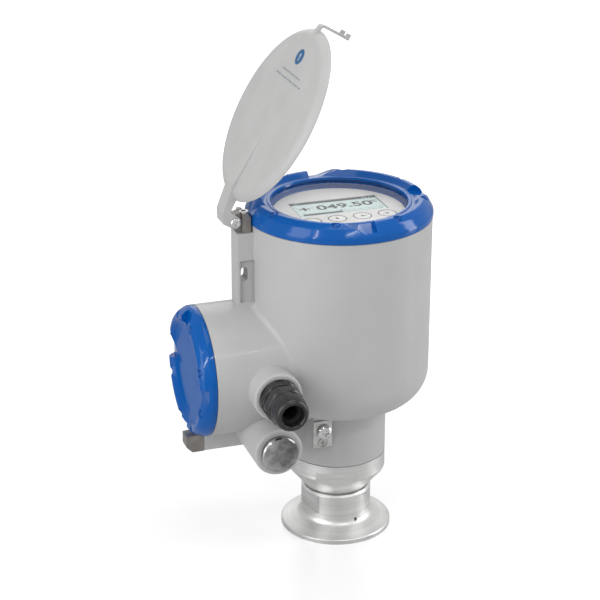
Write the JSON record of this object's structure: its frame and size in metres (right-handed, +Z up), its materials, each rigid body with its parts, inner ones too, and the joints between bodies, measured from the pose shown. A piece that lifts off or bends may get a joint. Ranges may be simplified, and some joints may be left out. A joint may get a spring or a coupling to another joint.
{
  "type": "radar level transmitter",
  "caption": "Compact radar level transmitter: cast housing with display and terminal compartment, blue screw covers, hinged flap and hygienic clamp ferrule.",
  "frame": {"origin": "centre of the clamp ferrule's sealing face, on the axis of the housing", "axes": "+Z up along the housing's axis towards the display, -X along the terminal compartment, -Y along the two cable entries; millimetres in the source, metres in the row"},
  "size_m": [0.1741, 0.1517, 0.3626],
  "materials": {
    "cast_paint": "satin light grey powder coat on die-cast aluminium",
    "cover_paint": "glossy deep blue coat on turned and cast aluminium",
    "flap_plastic": "smooth light grey moulding",
    "machined_steel": "fine turned stainless steel",
    "polished_steel": "polished stainless steel",
    "bracket_steel": "bead-blasted stainless steel, slightly brown",
    "screw_steel": "plain stainless screw",
    "lens_plastic": "white PEEK-like antenna plastic",
    "seal_rubber": "black elastomer",
    "gland_plastic": "black polyamide",
    "window_glass": "clear flat glass",
    "front_plastic": "pale grey display front",
    "screen_face": "reflective liquid crystal face",
    "key_face": "touch field under the window",
    "pot_plastic": "dark plastic cup",
    "board": "green circuit board",
    "terminal_plastic": "green terminal block"
  },
  "bodies": {
    "adapter": {"clamp_ferrule": "machined_steel", "antenna_lens": "lens_plastic", "lens_seal": "seal_rubber", "waveguide": "machined_steel", "cone_adapter": "machined_steel", "neck_seal": "seal_rubber"},
    "housing": {"housing": "cast_paint", "neck_grub_screw": "screw_steel", "electronics_pot": "pot_plastic", "main_board": "board", "microwave_module": "screw_steel", "display_front": "front_plastic", "display_screen": "screen_face", "optical_key_1": "key_face", "optical_key_2": "key_face", "optical_key_3": "key_face", "optical_key_4": "key_face", "terminal_carrier": "pot_plastic", "terminal_strip": "terminal_plastic", "terminal_screws": "screw_steel", "gland_washer": "seal_rubber", "gland_body": "gland_plastic", "bond_plate": "bracket_steel", "hinge_bracket": "bracket_steel", "bracket_screw": "screw_steel", "hinge_pin": "polished_steel", "pin_clip": "screw_steel", "terminal_stop": "bracket_steel", "terminal_stop_screw": "screw_steel"},
    "flap": {"weather_flap": "flap_plastic"},
    "display_cover_seal": {"display_cover_seal": "seal_rubber"},
    "display_cover": {"display_cover": "cover_paint", "window_gasket": "seal_rubber", "display_window": "window_glass", "window_retainer": "bracket_steel"},
    "terminal_cover_seal": {"terminal_cover_seal": "seal_rubber"},
    "terminal_cover": {"terminal_cover": "cover_paint"},
    "gland_insert": {"gland_insert": "seal_rubber"},
    "gland_nut": {"gland_nut": "gland_plastic"},
    "plug_seal": {"plug_seal": "seal_rubber"},
    "blind_plug": {"blind_plug": "polished_steel"},
    "bond_washer": {"bond_washer": "screw_steel"},
    "bond_screw": {"bond_screw": "polished_steel"}
  },
  "joints": [
    {"name": "housing_swivel", "type": "hinge", "parent": "adapter", "child": "housing", "pos_m": [0, 0, 0.058], "axis": [0, 0, 1], "range_deg": [-170, 170]},
    {"name": "flap_hinge", "type": "hinge", "parent": "housing", "child": "flap", "pos_m": [-0.075, 0, 0.236], "axis": [0, -1, 0], "range_deg": [-60, 50]},
    {"name": "display_cover_lift", "type": "slide", "parent": "housing", "child": "display_cover_seal", "axis": [0, 0, 1], "range_m": [0, 0.00151]},
    {"name": "display_cover_turn", "type": "hinge", "parent": "display_cover_seal", "child": "display_cover", "pos_m": [0, 0, 0.2323], "axis": [0, 0, 1], "range_deg": [0, 360]},
    {"name": "terminal_cover_lift", "type": "slide", "parent": "housing", "child": "terminal_cover_seal", "axis": [-1, 0, 0], "range_m": [0, 0.00151]},
    {"name": "terminal_cover_turn", "type": "hinge", "parent": "terminal_cover_seal", "child": "terminal_cover", "pos_m": [-0.099, 0, 0.1305], "axis": [-1, 0, 0], "range_deg": [0, 360]},
    {"name": "gland_insert_slide", "type": "slide", "parent": "housing", "child": "gland_insert", "axis": [0, -1, 0], "range_m": [0, 0.00151]},
    {"name": "gland_nut_turn", "type": "hinge", "parent": "gland_insert", "child": "gland_nut", "pos_m": [-0.0615, -0.0666, 0.13], "axis": [0, -1, 0], "range_deg": [0, 360]},
    {"name": "plug_seal_slide", "type": "slide", "parent": "housing", "child": "plug_seal", "axis": [0, -1, 0], "range_m": [0, 0.00151]},
    {"name": "blind_plug_turn", "type": "hinge", "parent": "plug_seal", "child": "blind_plug", "pos_m": [-0.0615, -0.058, 0.09], "axis": [0, -1, 0], "range_deg": [0, 360]},
    {"name": "bond_washer_slide", "type": "slide", "parent": "housing", "child": "bond_washer", "axis": [0, -1, 0], "range_m": [0, 0.00081]},
    {"name": "bond_screw_turn", "type": "hinge", "parent": "bond_washer", "child": "bond_screw", "pos_m": [-0.0216, -0.0346, 0.0886], "axis": [0, -1, 0], "range_deg": [0, 360]}
  ],
  "couplings": [
    {"joint": "display_cover_lift", "follows": "display_cover_turn", "m_per_rad": 0.00023873},
    {"joint": "terminal_cover_lift", "follows": "terminal_cover_turn", "m_per_rad": 0.00023873},
    {"joint": "gland_insert_slide", "follows": "gland_nut_turn", "m_per_rad": 0.00023873},
    {"joint": "plug_seal_slide", "follows": "blind_plug_turn", "m_per_rad": 0.00023873},
    {"joint": "bond_washer_slide", "follows": "bond_screw_turn", "m_per_rad": 0.00012732}
  ]
}
